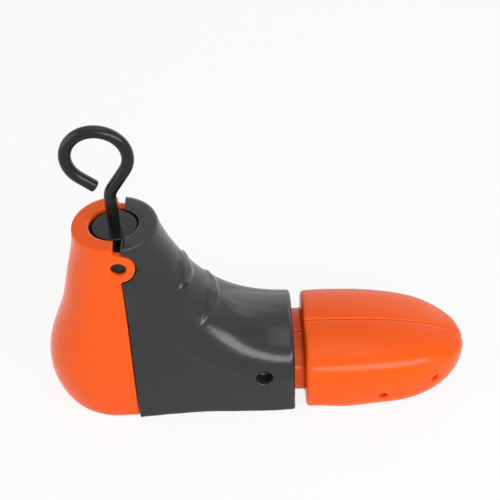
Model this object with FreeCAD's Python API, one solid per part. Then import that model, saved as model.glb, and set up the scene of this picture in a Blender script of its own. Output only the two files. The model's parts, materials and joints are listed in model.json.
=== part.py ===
import FreeCAD, Part
import math
import os

Vector = FreeCAD.Vector
Rotation = FreeCAD.Rotation
along_x = Vector(1, 0, 0)
along_y = Vector(0, 1, 0)
along_z = Vector(0, 0, 1)

# Driving dimensions in millimetres and degrees
# X runs from the crank spindle to the toe, and Z up from the sole

# Outer form
ankle_height = 119.5
ankle_radius = 22.6
heel_reach = 48.0
instep_reach = 92.7
toe_gap = 6.0
toe_length = 93.7
sole_half_width = 32.5
toe_half_width = 36.0
front_height = 47.0
front_arch = 26.0
toe_height = 41.0
instep_swell = 3.8
wall = 3.0
sole_edge = 1.5
rim_edge = 0.8
toe_edge = 1.4
pad_height = 0.9
pad_sink = 1.1
upper_pad_angle = 45.0
lower_pad_angle = 8.0
overrun = 5.0

# Parting of heel and instep
parting_x = 3.0
parting_gap = 0.4
slot_rear = 2.7
slot_front = 1.3
deck = 4.0
ear_radius = 8.8
ear_inner_y = 17.5
ear_play = 0.4
cheek_inner_y = 11.0
head_depth = 20.0

# Ankle hinge
hinge_x = 2.0
hinge_drop = 13.3
hinge_pin_radius = 4.1
hinge_pin_recess = 2.4
running_play = 0.06
heel_swing_angle = 6.0

# Crank
rod_radius = 3.2
loop_radius = 15.5
loop_rise = 42.3
loop_offset = 3.7
loop_flare_angle = 34.0
tail_flare_angle = 50.0
neck_bend = 12.0
tail_length = 9.5
spindle_foot = 8.0
disc_radius = 12.0
disc_thickness = 3.0
disc_drop = 1.4
disc_play = 0.7
heel_disc_play = 1.6
disc_edge = 0.6

# Spindle bearing
washer_radius = 8.5
washer_thickness = 0.8
bush_wall = 2.0
bush_length = 12.0
bush_flange_radius = 8.0
bush_flange = 1.4
boss_radius = 10.0
clip_radius = 6.5
clip_thickness = 1.2
clip_mouth_half = 2.6
clip_gap = 0.3
stop_nut_flats = 12.0
stop_nut_height = 5.0

# Wedge nut
nut_bottom = 38.0
nut_height = 34.0
nut_travel = 24.0
nut_half_width = 9.0
nut_toe_half = 8.0
insert_flats = 13.0
insert_height = 7.0
insert_seat = 4.0
roller_radius = 3.0
roller_height = 42.0
roller_play = 0.3
lug_gap = 1.0
lug_thickness = 3.5
lug_margin = 3.0

# Push rod
push_travel = 7.0
push_rod_radius = 3.0
push_rod_height = 20.0
push_block_length = 12.0
push_block_setback = 6.4
push_block_top_margin = 4.0
push_seat = 10.0
guide_setback = 34.7
guide_length = 12.0
guide_bush_wall = 2.0
guide_flange_radius = 8.0
guide_flange = 1.5

# Toe spread
toe_swing_angle = 5.0
toe_pin_setback = 6.7
toe_pin_y = 12.0
toe_pin_radius = 2.0
toe_pin_seat = 2.5
toe_post_radius = 4.5
seam = 0.4
seam_relief = 2.0
neck_inset = 9.0
neck_wall = 3.0
neck_play = 1.0
neck_back_play = 1.8
neck_setback = 10.7
cam_set = 21.3
cam_y = 8.0
cam_pin_radius = 2.5
cam_lug_half = 8.0
cam_lug_thickness = 3.0
cam_lug_gap = 1.5
cam_lug_seat = 4.5
spreader_set = 4.3
spreader_length = 23.0
spreader_half_height = 6.5
spreader_seat = 15.0

# Sole plate and its screws
sole_thickness = 3.5
screw_radius = 1.6
screw_head_radius = 3.2
screw_head_height = 2.2
screw_sink = 0.4
screw_length = 12.0
screw_boss_radius = 6.0
screw_boss_height = 16.0
screw_play = 0.2
screw_rear_x = 17.0
screw_front_setback = 28.7
screw_inset = 8.0
plate_play = 0.2

# Plug sockets
plug_radius = 2.5
plug_depth = 6.0
plug_boss_radius = 4.8
plug_floor = 1.5
side_plug_set = 43.5
side_plug_z = 11.8
tip_plug_set = 60.2
tip_plug_z = 16.5
tip_plug_angle = 27.0
side_socket_setback = 17.3
side_socket_z = 27.8
side_socket_radius = 4.7
side_socket_depth = 8.0
side_socket_wall = 2.0
side_socket_floor = 1.5

# Hand-chosen shares of the sizes above
flank_low_share = 0.05
flank_high_share = 0.85
heel_shares = (
    (0.00, 0.62, 0.955), (0.03, 0.82, 0.995), (0.10, 0.95, 1.0), (0.22, 1.0, 1.0), (0.36, 0.865, 1.0),
    (0.50, 0.60, 1.0), (0.66, 0.36, 1.0), (0.80, 0.19, 1.0), (1.00, 0.0, 1.0),
)
toe_shares = (
    (0.00, 0.985, 1.0, -0.06), (0.17, 1.0, 1.0, -0.06), (0.34, 0.99, 0.985, -0.06),
    (0.50, 0.955, 0.955, -0.045), (0.64, 0.895, 0.91, -0.03), (0.76, 0.79, 0.85, 0.03),
    (0.86, 0.635, 0.77, 0.11), (0.935, 0.45, 0.69, 0.22), (0.98, 0.265, 0.60, 0.33),
    (1.00, 0.10, 0.51, 0.42),
)
toe_crown_share = 0.83
toe_sole_share = 0.88
toe_shoulder_share = 0.42
hollow_tip_share = 3.0
round_share = 0.5523
front_crown_share = 0.74
roller_set_share = 0.33
upper_pad_shares = (0.269, 0.40)
lower_pad_shares = (0.505, 0.617)
fan_steps = 6
loft_degree = 3

toe_back_x = instep_reach + toe_gap
toe_reach = toe_back_x + toe_length
guide_x = instep_reach - guide_setback
neck_back_x = instep_reach - neck_setback
toe_pin_x = instep_reach - toe_pin_setback
side_socket_x = instep_reach - side_socket_setback
cam_x = toe_back_x + cam_set
spreader_back_x = toe_back_x + spreader_set
spreader_front_x = spreader_back_x + spreader_length
side_plug_x = toe_back_x + side_plug_set
tip_plug_x = toe_back_x + tip_plug_set
screw_front_x = instep_reach - screw_front_setback
screw_y = sole_half_width - screw_inset
hinge_z = ankle_height - hinge_drop
loop_height = ankle_height + loop_rise
slot_rear_x = parting_x - slot_rear
slot_front_x = parting_x + slot_front
head_bottom = ankle_height - head_depth
disc_top = ankle_height - disc_drop
disc_bottom = disc_top - disc_thickness
bush_top = disc_bottom - washer_thickness
boss_top = bush_top - bush_flange
neck_floor = sole_thickness + neck_play
pad_radius = ankle_radius - pad_sink
plug_places = ((side_plug_x, side_plug_z, 0), (tip_plug_x, tip_plug_z, tip_plug_angle))
frame_shift = Vector((heel_reach - toe_reach) / 2, 0, 0)


# Basic solids
def block(x_low, x_high, y_low, y_high, z_low, z_high):
    return Part.makeBox(x_high - x_low, y_high - y_low, z_high - z_low, Vector(x_low, y_low, z_low))


def wide_block(x_low, x_high, half_width, z_low, z_high):
    return block(x_low, x_high, -half_width, half_width, z_low, z_high)


def rod(radius, length, start, direction=along_z):
    return Part.makeCylinder(radius, length, start, direction)


def cross_rod(radius, x, z, half_length):
    return rod(radius, 2 * half_length, Vector(x, -half_length, z), along_y)


def hexagon(flats, x, z_low, height):
    corner = flats / math.sqrt(3)
    turns = [Rotation(along_z, 60 * k) for k in range(6)]
    return prism([turn.multVec(along_x * corner) + Vector(x, 0, z_low) for turn in turns], along_z * height)


def prism(points, direction):
    return Part.Face(Part.makePolygon(points + points[:1])).extrude(direction)


def fused(first, *others):
    for other in others:
        first = first.fuse(other)
    return first.removeSplitter()


def mirrored(shape):
    return shape.mirror(Vector(0, 0, 0), along_y)


def swung(x, y, degrees):
    angle = math.radians(degrees)
    return x * math.cos(angle) - y * math.sin(angle), x * math.sin(angle) + y * math.cos(angle)


# Curved sections
def bulge(start, corner, end, fullness_share):
    curve = Part.BezierCurve()
    first = start + (corner - start) * fullness_share
    second = end + (corner - end) * fullness_share
    curve.setPoles([start, first, second, end])
    return curve.toShape()


def line(start, end):
    return Part.LineSegment(start, end).toShape()


def u_section(point, nose, depth, half_nose, reach, half_reach, fullness_share):
    side = nose + depth
    edges = [
        line(point(reach, -half_reach), point(side, -half_nose)),
        bulge(point(side, -half_nose), point(nose, -half_nose), point(nose, 0), fullness_share),
        bulge(point(nose, 0), point(nose, half_nose), point(side, half_nose), fullness_share),
        line(point(side, half_nose), point(reach, half_reach)),
        line(point(reach, half_reach), point(reach, -half_reach)),
    ]
    return Part.Wire(edges)


def ease(share):
    return share * share * (3 - 2 * share)


def between(low, high, share):
    return low + (high - low) * share


# Half width of the ankle and heel at a height
def flank(z):
    share = (z / ankle_height - flank_low_share) / (flank_high_share - flank_low_share)
    share = min(max(share, 0), 1)
    return between(sole_half_width, ankle_radius, (1 - math.cos(math.pi * share)) / 2)


# Distance from the fan's pivot to the instep line, and the point there
def fan_reach(share):
    angle = share * math.pi / 2
    reach = between(instep_reach - ankle_radius, ankle_height - front_height, share)
    return reach - instep_swell * (math.sin(2 * angle) + math.sin(4 * angle) / 2)


def instep_line(share):
    angle = share * math.pi / 2
    reach = fan_reach(share)
    return Vector(instep_reach - reach * math.cos(angle), 0, ankle_height - reach * math.sin(angle))


# Instep: sections on planes that fan from the level ankle rim to the upright front face
def instep_form(inset):
    depth_of_fan = math.hypot(instep_reach, ankle_height) + overrun
    sections = []
    for step in range(fan_steps + 1):
        share = step / fan_steps
        angle = share * math.pi / 2
        nose = fan_reach(share)
        depth = between(ankle_radius, front_arch, share)
        half_nose = between(ankle_radius, sole_half_width, ease(share))
        to_parting = (instep_reach - parting_x) / max(math.cos(angle), 1 / fan_steps)
        to_sole = ankle_height / max(math.sin(angle), 1 / fan_steps)
        edge_reach = min(to_parting, to_sole)
        half_edge = flank(ankle_height - edge_reach * math.sin(angle))
        slope = (half_edge - half_nose) / max(edge_reach - nose - depth, ankle_radius)
        half_reach = half_nose + slope * (depth_of_fan - nose - depth)
        def point(r, y):
            return Vector(instep_reach - r * math.cos(angle), y, ankle_height - r * math.sin(angle))
        sections.append(u_section(point, nose + inset, depth - inset, half_nose - inset,
                                  depth_of_fan, half_reach - inset,
                                  between(round_share, front_crown_share, share)))
    return Part.makeLoft(sections, True, False, False, loft_degree)


# Heel: level sections, straight at the parting and round at the back
def heel_form(inset):
    sections = []
    for height_share, bulge_share, width_share in heel_shares:
        z = height_share * ankle_height
        back = between(ankle_radius, heel_reach, bulge_share)
        half = flank(z) * width_share - inset
        def point(r, y):
            return Vector(r - back, y, z)
        sections.append(u_section(point, inset, flank(z) * width_share - inset, half,
                                  back + parting_x + overrun, half, round_share))
    return Part.makeLoft(sections, True, False, False, loft_degree)


# Toe: upright sections that close on the tip
def half_section(x, shares, inset, seam_y):
    width_share, top_share, base_share = shares
    half = toe_half_width * width_share - inset
    middle = toe_height * between(base_share, top_share, toe_shoulder_share)
    top = toe_height * top_share - inset
    base = toe_height * base_share + inset
    def point(y, z):
        return Vector(x, y, z)
    return Part.Wire([
        line(point(seam_y, base), point(seam_y, top)),
        bulge(point(seam_y, top), point(-half, top), point(-half, middle), toe_crown_share),
        bulge(point(-half, middle), point(-half, base), point(seam_y, base), toe_sole_share),
    ])


def half_toe(inset, seam_y):
    rows = [row for row in toe_shares if toe_half_width * row[1] > hollow_tip_share * inset]
    sections = [half_section(toe_back_x + row[0] * toe_length, row[1:], inset, seam_y) for row in rows]
    room = wide_block(toe_back_x - overrun, toe_reach + overrun, toe_half_width + overrun,
                      inset, toe_height + overrun)
    return Part.makeLoft(sections, True, False, False, loft_degree).common(room)


def half_neck(x_low, x_high, inset, seam_y, floor):
    wire = half_section(x_low, toe_shares[0][1:], inset, seam_y)
    room = wide_block(x_low - overrun, x_high + overrun, toe_half_width, floor, toe_height)
    return Part.Face(wire).extrude(Vector(x_high - x_low, 0, 0)).common(room)


# Where the rollers bear on the wedge nut: a face through two roller places, set off by radius and play
def bearing_face(first, second, offset, side):
    run = second - first
    normal = Vector(run.z, 0, -run.x)
    normal.normalize()
    start = first - normal * (offset * side)
    return start, run.x / run.z


roller_x = nut_toe_half + roller_radius + roller_play + roller_set_share * (roller_height - nut_bottom)
heel_roller = Vector(-roller_x, 0, roller_height)
push_roller = Vector(roller_x, 0, roller_height)
swung_x, swung_z = swung(heel_roller.x - hinge_x, heel_roller.z - hinge_z, -heel_swing_angle)
heel_roller_out = Vector(hinge_x + swung_x, 0, hinge_z + swung_z + nut_travel)
push_roller_out = push_roller + Vector(push_travel, 0, nut_travel)
rear_point, rear_slope = bearing_face(heel_roller, heel_roller_out, roller_radius + roller_play, -1)
front_point, front_slope = bearing_face(push_roller, push_roller_out, roller_radius + roller_play, 1)


def face_x(point, slope, z):
    return point.x + slope * (z - point.z)


# Crank and spindle
def crank_hook():
    flare = math.radians(loop_flare_angle)
    tail_flare = math.radians(tail_flare_angle)
    centre = Vector(-loop_offset, 0, loop_height)
    rise = Vector(math.sin(flare), 0, math.cos(flare))
    right = centre + Vector(math.cos(flare), 0, -math.sin(flare)) * loop_radius
    left = centre + Vector(-math.cos(tail_flare), 0, -math.sin(tail_flare)) * loop_radius
    corner = right - rise * (right.x / rise.x)
    tangent = neck_bend * math.tan(flare / 2)
    bend_low = corner - along_z * tangent
    bend_high = corner + rise * tangent
    bend_centre = bend_low + along_x * neck_bend
    bend_middle = bend_centre - Vector(math.cos(flare / 2), 0, -math.sin(flare / 2)) * neck_bend
    foot = Vector(0, 0, spindle_foot)
    tail = left + Vector(math.sin(tail_flare), 0, -math.cos(tail_flare)) * tail_length
    path = Part.Wire([
        line(foot, bend_low),
        Part.Arc(bend_low, bend_middle, bend_high).toShape(),
        line(bend_high, right),
        Part.Arc(right, centre + along_z * loop_radius, left).toShape(),
        line(left, tail),
    ])
    profile = Part.Wire(Part.makeCircle(rod_radius, foot, along_z))
    return path.makePipeShell([profile], True, False)


def crank_disc():
    disc = rod(disc_radius, disc_thickness, Vector(0, 0, disc_bottom))
    rim = [edge for edge in disc.Edges if edge.Vertexes[0].Z > disc_bottom and len(edge.Vertexes) == 1]
    return disc.makeFillet(disc_edge, rim).cut(spindle_hole(0))


def spindle_hole(play):
    return rod(rod_radius + play, ankle_height, Vector(0, 0, spindle_foot))


def thrust_washer():
    return rod(washer_radius, washer_thickness, Vector(0, 0, bush_top)).cut(spindle_hole(0))


def spindle_bush():
    flange = rod(bush_flange_radius, bush_flange, Vector(0, 0, boss_top))
    sleeve = rod(rod_radius + bush_wall, bush_length, Vector(0, 0, boss_top - bush_length))
    return fused(flange, sleeve).cut(spindle_hole(running_play))


def retaining_clip():
    top = min(head_bottom, boss_top - bush_length) - clip_gap
    clip = rod(clip_radius, clip_thickness, Vector(0, 0, top - clip_thickness))
    mouth = wide_block(0, clip_radius + overrun, clip_mouth_half, top - clip_thickness, top)
    return clip.cut(mouth).cut(spindle_hole(0))


def stop_nut():
    return hexagon(stop_nut_flats, 0, spindle_foot, stop_nut_height).cut(spindle_hole(0))


# Wedge nut
def wedge_nut():
    nut_top = nut_bottom + nut_height
    points = [
        Vector(face_x(rear_point, rear_slope, nut_bottom), -nut_half_width, nut_bottom),
        Vector(face_x(front_point, front_slope, nut_bottom), -nut_half_width, nut_bottom),
        Vector(face_x(front_point, front_slope, nut_top), -nut_half_width, nut_top),
        Vector(face_x(rear_point, rear_slope, nut_top), -nut_half_width, nut_top),
    ]
    wedge = prism(points, along_y * (2 * nut_half_width))
    return wedge.cut(spindle_hole(running_play)).cut(insert_solid(insert_height + insert_seat))


def insert_solid(height):
    return hexagon(insert_flats, 0, nut_bottom + nut_height - insert_height - insert_seat, height)


def nut_insert():
    return insert_solid(insert_height).cut(spindle_hole(running_play))


# Lugs that carry a roller: two plates beside the wedge nut
def lug_pair(x_low, x_high, roller):
    inner = nut_half_width + lug_gap
    plate = block(x_low, x_high, inner, inner + lug_thickness,
                  roller.z - roller_radius - lug_margin, roller.z + roller_radius + lug_margin)
    nose = rod(roller_radius + lug_margin, lug_thickness, Vector(roller.x, inner, roller.z), along_y)
    lug = fused(plate, nose)
    return lug, mirrored(lug)


def roller(place, play):
    return cross_rod(roller_radius + play, place.x, place.z, nut_half_width + lug_gap + lug_thickness)


# Heel
def heel_shell():
    outer = ankle_rounded(heel_form(0))
    front = parting_x - parting_gap / 2
    back = -heel_reach - overrun
    body_room = wide_block(back, front, sole_half_width + overrun, 0, hinge_z)
    top_room = wide_block(back, slot_rear_x, sole_half_width + overrun, hinge_z, ankle_height)
    cavity = heel_form(wall).common(
        wide_block(-heel_reach, parting_x + overrun, sole_half_width, wall, ankle_height - deck))
    shell = outer.common(fused(body_room, top_room)).cut(cavity)
    ears = ear_pair(ear_radius, ear_inner_y)
    lugs = [lug.common(outer) for lug in lug_pair(-heel_reach, heel_roller.x, heel_roller)]
    shell = fused(shell, *ears, *lugs)
    shell = shell.cut(rod(disc_radius + heel_disc_play, deck + overrun, Vector(0, 0, ankle_height - deck)))
    shell = shell.cut(cross_rod(hinge_pin_radius + running_play, hinge_x, hinge_z, sole_half_width))
    return shell.cut(roller(heel_roller, 0))


# Ears: slices of a cylinder about the hinge, flush with the ankle
def ear_pair(radius, inner_y):
    rear = heel_form(0).common(wide_block(-heel_reach, parting_x, sole_half_width, 0, ankle_height))
    front = instep_form(0).common(wide_block(parting_x, instep_reach, sole_half_width, 0, ankle_height))
    side = rod(radius, sole_half_width, Vector(hinge_x, inner_y, hinge_z), along_y)
    ear = side.common(fused(rear, front))
    return ear, mirrored(ear)


def hinge_pin():
    outer_y = flank(hinge_z) - hinge_pin_recess
    return rod(hinge_pin_radius, outer_y - cheek_inner_y, Vector(hinge_x, cheek_inner_y, hinge_z), along_y)


# Rounds the ankle's outer rim
def ankle_rounded(form):
    rim = [edge for edge in form.Edges
           if edge.BoundBox.ZMin > ankle_height - rim_edge and edge.BoundBox.XLength > rim_edge]
    return form.makeFillet(rim_edge, rim)


# Pads across the instep: a cone that stands proud at its upper edge and runs out below
def instep_pad(shares, lean):
    top = instep_line(shares[0])
    run = instep_line(shares[1]) - top
    inward = Vector(run.z, 0, -run.x)
    inward.normalize()
    cone = Part.makeCone(pad_radius + pad_height, pad_radius, run.Length, top + inward * pad_radius, run)
    span = pad_radius * 2
    edge = Rotation(along_y, -lean).multVec(inward) * span
    above = Rotation(along_y, -lean).multVec(run).normalize() * -span
    corner = top - along_y * span
    outline = [corner - edge, corner + edge, corner + edge + above, corner - edge + above]
    return cone.cut(prism(outline, along_y * (2 * span)))


# Instep
def instep_outer():
    front = instep_form(0).common(
        wide_block(parting_x + parting_gap / 2, instep_reach, sole_half_width + overrun, 0, ankle_height))
    mouth = [edge for edge in front.Edges if edge.BoundBox.XMin > instep_reach - sole_edge]
    sides = [edge for edge in front.Edges
             if edge.BoundBox.ZMax < sole_edge and edge.BoundBox.XLength > instep_reach / 2]
    front = ankle_rounded(front.makeFillet(sole_edge, mouth + sides))
    pads = (instep_pad(upper_pad_shares, upper_pad_angle), instep_pad(lower_pad_shares, lower_pad_angle))
    slot = wide_block(0, slot_front_x, sole_half_width, hinge_z - ear_radius, ankle_height)
    return fused(front, *pads).cut(slot)


# Room of the sole plate between the walls, and the plate itself with its play
def plate_form(play):
    room = wide_block(parting_x + parting_gap / 2, instep_reach - wall - play, sole_half_width,
                      0, sole_thickness)
    return instep_form(wall + play).common(room)


def instep_shell():
    shell = instep_outer()
    cavity = instep_form(wall).common(
        wide_block(-heel_reach, guide_x, sole_half_width, sole_thickness, head_bottom))
    neck_room = half_neck(guide_x + guide_length, instep_reach + overrun,
                          neck_inset - neck_play, overrun, sole_thickness)
    bosses = [rod(screw_boss_radius, screw_boss_height, Vector(screw_rear_x, y, sole_thickness)).common(
        instep_form(0)) for y in (-screw_y, screw_y)]
    spindle_boss = rod(boss_radius, boss_top - head_bottom, Vector(0, 0, head_bottom))
    cheek = block(hinge_x - hinge_pin_radius - wall, slot_front_x + overrun,
                  cheek_inner_y, ear_inner_y - ear_play, head_bottom, boss_top)
    bridge = wide_block(0, slot_front_x + overrun, boss_radius, head_bottom, boss_top)
    shell = shell.cut(cavity).cut(neck_room).cut(mirrored(neck_room)).cut(plate_form(0))
    shell = fused(shell, *bosses, socket_boss(-1), socket_boss(1))
    pocket = rod(ear_radius + ear_play, sole_half_width,
                 Vector(hinge_x, ear_inner_y - ear_play, hinge_z), along_y)
    shell = shell.cut(pocket).cut(mirrored(pocket))
    shell = fused(shell, spindle_boss, bridge, cheek, mirrored(cheek))
    shell = shell.cut(rod(disc_radius + disc_play, ankle_height, Vector(0, 0, boss_top)))
    shell = shell.cut(rod(rod_radius + bush_wall, ankle_height, Vector(0, 0, sole_thickness)))
    shell = shell.cut(cross_rod(hinge_pin_radius, hinge_x, hinge_z, sole_half_width))
    shell = shell.cut(rod(push_rod_radius + guide_bush_wall, guide_length,
                          Vector(guide_x, 0, push_rod_height), along_x))
    for side in (-1, 1):
        shell = shell.cut(toe_pin(side)).cut(side_socket(side, side_socket_radius, side_socket_depth))
    return shell.cut(Part.makeCompound(screw_holes()))


# Round socket in each side, sunk from the flank
def side_socket(side, radius, depth):
    axis = Vector(side_socket_x, 0, side_socket_z)
    probe = rod(side_socket_radius, sole_half_width + overrun, axis, along_y).common(instep_form(0))
    mouth = max(vertex.Y for vertex in probe.Vertexes)
    return rod(radius, depth + overrun, axis + along_y * (side * (mouth - depth)), along_y * side)


def socket_boss(side):
    boss = side_socket(side, side_socket_radius + side_socket_wall, side_socket_depth + side_socket_floor)
    room = wide_block(0, neck_back_x - neck_back_play, sole_half_width + overrun, 0, ankle_height)
    return boss.common(instep_form(0)).common(room)


def screw_places():
    return [(x, y) for x in (screw_rear_x, screw_front_x) for y in (-screw_y, screw_y)]


def screw(x, y, play):
    head = rod(screw_head_radius + play, screw_head_height, Vector(x, y, screw_sink))
    shank = rod(screw_radius, screw_length, Vector(x, y, screw_sink + screw_head_height))
    return fused(head, shank)


def screw_holes():
    return [screw(x, y, screw_play) for x, y in screw_places()]


def sole_screws():
    return Part.makeCompound([screw(x, y, 0) for x, y in screw_places()])


def sole_plate():
    plate = plate_form(plate_play)
    for x, y in screw_places():
        plate = plate.cut(screw(x, y, screw_play))
        plate = plate.cut(rod(screw_head_radius + screw_play, screw_sink, Vector(x, y, 0)))
    for side in (-1, 1):
        plate = plate.cut(toe_pin(side))
    return plate


# Push rod
def push_block():
    rear = push_roller.x + push_block_setback
    inner = nut_half_width + lug_gap
    bar = wide_block(rear, rear + push_block_length, inner + lug_thickness,
                     push_rod_height - push_rod_radius - lug_margin,
                     push_roller.z + push_block_top_margin)
    block_solid = fused(bar, *lug_pair(push_roller.x, rear, push_roller))
    return block_solid.cut(roller(push_roller, 0)).cut(push_rod())


def push_rod():
    start = push_roller.x + push_block_setback + push_block_length - push_seat
    end = spreader_back_x + spreader_seat
    return rod(push_rod_radius, end - start, Vector(start, 0, push_rod_height), along_x)


def rod_guide():
    start = Vector(guide_x - guide_flange, 0, push_rod_height)
    length = guide_flange + guide_length
    sleeve = rod(push_rod_radius + guide_bush_wall, length, start, along_x)
    flange = rod(guide_flange_radius, guide_flange, start, along_x)
    bore = rod(push_rod_radius + running_play, length, start, along_x)
    return fused(sleeve, flange).cut(bore)


# Toe spreader, whose flanks bear on one cam pin in each toe half
def spreader_wedge():
    arm_x, arm_y = swung(cam_x - toe_pin_x, toe_pin_y - cam_y, -toe_swing_angle)
    run = Vector(toe_pin_x + arm_x - push_travel - cam_x, arm_y - toe_pin_y + cam_y, 0)
    outward = Vector(-run.y, run.x, 0)
    outward.normalize()
    touch = Vector(cam_x, -cam_y, 0) - outward * (cam_pin_radius + roller_play)
    slope = run.y / run.x
    low = push_rod_height - spreader_half_height
    back_half = -(touch.y + slope * (spreader_back_x - touch.x))
    front_half = -(touch.y + slope * (spreader_front_x - touch.x))
    points = [
        Vector(spreader_back_x, -back_half, low), Vector(spreader_front_x, -front_half, low),
        Vector(spreader_front_x, front_half, low), Vector(spreader_back_x, back_half, low),
    ]
    return prism(points, along_z * (2 * spreader_half_height)).cut(push_rod())


# Toe halves
def toe_pin(side):
    low = sole_thickness - toe_pin_seat
    high = toe_height - neck_inset + neck_play + toe_pin_seat
    return rod(toe_pin_radius, high - low, Vector(toe_pin_x, side * toe_pin_y, low))


def cam_pin():
    low = push_rod_height - spreader_half_height - cam_lug_gap - cam_lug_thickness
    high = push_rod_height + spreader_half_height + cam_lug_gap + cam_lug_thickness
    return rod(cam_pin_radius, high - low, Vector(cam_x, -cam_y, low))


def plug_tool(x, z, turn, radius, depth):
    reach = toe_half_width * 2
    outward = Rotation(along_z, turn).multVec(-along_y)
    probe = rod(plug_radius / 2, reach, Vector(x, 0, z), outward)
    mouth = max(vertex.Point.dot(outward) for vertex in half_toe(0, 0).common(probe).Vertexes)
    start = Vector(x, 0, z) + outward * (mouth - Vector(x, 0, z).dot(outward) - depth)
    return rod(radius, depth + overrun, start, outward)


def toe_right():
    outer = half_toe(0, -seam / 2)
    back = [edge for edge in outer.Edges
            if edge.BoundBox.XMax < toe_back_x + toe_edge and edge.BoundBox.YLength > toe_edge]
    outer = outer.makeFillet(toe_edge, back)
    cavity = half_toe(wall, overrun).common(
        wide_block(toe_back_x + wall, toe_reach, toe_half_width, wall, toe_height))
    neck = half_neck(neck_back_x, toe_back_x + wall / 2, neck_inset, -seam / 2, neck_floor)
    neck_hollow = half_neck(neck_back_x - overrun, toe_back_x + wall + overrun,
                            neck_inset + neck_wall, overrun, neck_floor + neck_wall)
    post = rod(toe_post_radius, toe_height, Vector(toe_pin_x, -toe_pin_y, 0)).common(neck)
    lugs = []
    for low in (push_rod_height - spreader_half_height - cam_lug_gap - cam_lug_thickness,
                push_rod_height + spreader_half_height + cam_lug_gap):
        lug = block(cam_x - cam_lug_half, cam_x + cam_lug_half, -toe_half_width, cam_lug_seat - cam_y,
                    low, low + cam_lug_thickness)
        lugs.append(lug.common(outer))
    bosses = [plug_tool(x, z, turn, plug_boss_radius, plug_depth + plug_floor).common(outer)
              for x, z, turn in plug_places]
    half = fused(outer.cut(cavity), neck, *lugs, *bosses).cut(neck_hollow)
    half = fused(half, post)
    half = half.cut(wide_block(neck_back_x, toe_pin_x + seam_relief, seam_relief, 0, toe_height))
    half = half.cut(rod(toe_pin_radius + running_play, toe_height, Vector(toe_pin_x, -toe_pin_y, 0)))
    half = half.cut(cam_pin())
    for x, z, turn in plug_places:
        half = half.cut(plug_tool(x, z, turn, plug_radius, plug_depth))
    return half


right_half = toe_right()
pieces = {
    "heel_shell": heel_shell(),
    "heel_roller": roller(heel_roller, 0),
    "instep_shell": instep_shell(),
    "sole_plate": sole_plate(),
    "sole_screws": sole_screws(),
    "hinge_pin_left": hinge_pin(),
    "hinge_pin_right": mirrored(hinge_pin()),
    "spindle_bush": spindle_bush(),
    "rod_guide": rod_guide(),
    "toe_pin_left": toe_pin(1),
    "toe_pin_right": toe_pin(-1),
    "crank_hook": crank_hook(),
    "crank_disc": crank_disc(),
    "thrust_washer": thrust_washer(),
    "retaining_clip": retaining_clip(),
    "stop_nut": stop_nut(),
    "wedge_nut": wedge_nut(),
    "nut_insert": nut_insert(),
    "push_block": push_block(),
    "push_roller": roller(push_roller, 0),
    "push_rod": push_rod(),
    "spreader_wedge": spreader_wedge(),
    "toe_right": right_half,
    "toe_left": mirrored(right_half),
    "cam_pin_right": cam_pin(),
    "cam_pin_left": mirrored(cam_pin()),
}

os.makedirs("parts", exist_ok=True)
for name, shape in pieces.items():
    solid = shape.translated(frame_shift)
    solid.exportStep("parts/" + name + ".step")
    print(name, len(solid.Solids), round(solid.Volume), solid.isValid())
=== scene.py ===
import json
import math

import bpy
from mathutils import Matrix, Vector


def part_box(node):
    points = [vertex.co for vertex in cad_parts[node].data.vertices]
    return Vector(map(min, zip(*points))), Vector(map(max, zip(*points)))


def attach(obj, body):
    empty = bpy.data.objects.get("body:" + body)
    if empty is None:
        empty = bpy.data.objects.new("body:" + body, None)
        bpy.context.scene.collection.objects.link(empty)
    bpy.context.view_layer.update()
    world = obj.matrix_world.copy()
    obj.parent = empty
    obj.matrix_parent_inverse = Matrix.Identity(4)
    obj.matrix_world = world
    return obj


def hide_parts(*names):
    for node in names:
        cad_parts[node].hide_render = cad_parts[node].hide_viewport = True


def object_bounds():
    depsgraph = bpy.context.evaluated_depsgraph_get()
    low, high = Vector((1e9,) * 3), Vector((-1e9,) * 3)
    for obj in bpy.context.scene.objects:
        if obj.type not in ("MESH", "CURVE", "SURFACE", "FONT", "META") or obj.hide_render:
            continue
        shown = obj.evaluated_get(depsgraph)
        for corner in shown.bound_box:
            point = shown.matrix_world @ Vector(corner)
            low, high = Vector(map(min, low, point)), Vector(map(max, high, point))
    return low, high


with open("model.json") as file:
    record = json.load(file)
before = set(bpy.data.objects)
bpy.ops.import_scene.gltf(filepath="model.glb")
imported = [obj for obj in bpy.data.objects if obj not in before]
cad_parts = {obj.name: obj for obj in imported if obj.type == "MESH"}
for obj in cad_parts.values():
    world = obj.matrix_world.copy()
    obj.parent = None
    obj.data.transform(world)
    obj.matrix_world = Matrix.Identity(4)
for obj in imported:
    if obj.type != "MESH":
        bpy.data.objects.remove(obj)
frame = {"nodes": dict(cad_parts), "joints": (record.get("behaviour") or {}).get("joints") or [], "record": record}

bl_info = {
    "name": "Shoe stretcher",
    "version": (1, 0, 0),
    "blender": (4, 5, 0),
    "location": "3D View > Sidebar > Stretcher",
    "description": "Dresses the shoe stretcher's frame and sets its stage",
    "category": "Object",
}

MM = 0.001

# Places that come from the frame
CAD_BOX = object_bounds()
SPINDLE_X = next(joint["pos_m"][0] for joint in frame["joints"] if joint["name"] == "spindle_turn")
INSTEP_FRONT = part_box("instep_shell")[1].x

# What all properties of one kind have in common
LENGTH = {"subtype": "DISTANCE", "unit": "LENGTH", "precision": 5}
ANGLE = {"subtype": "ANGLE", "unit": "ROTATION"}
COLOUR = {"subtype": "COLOR", "size": 4, "min": 0.0, "max": 1.0}


def linear(hex_colour):
    """An sRGB hex colour as linear red, green, blue and alpha."""
    channels = [int(hex_colour[k:k + 2], 16) / 255 for k in (1, 3, 5)]
    return [c / 12.92 if c <= 0.04045 else ((c + 0.055) / 1.055) ** 2.4 for c in channels] + [1.0]


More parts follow.
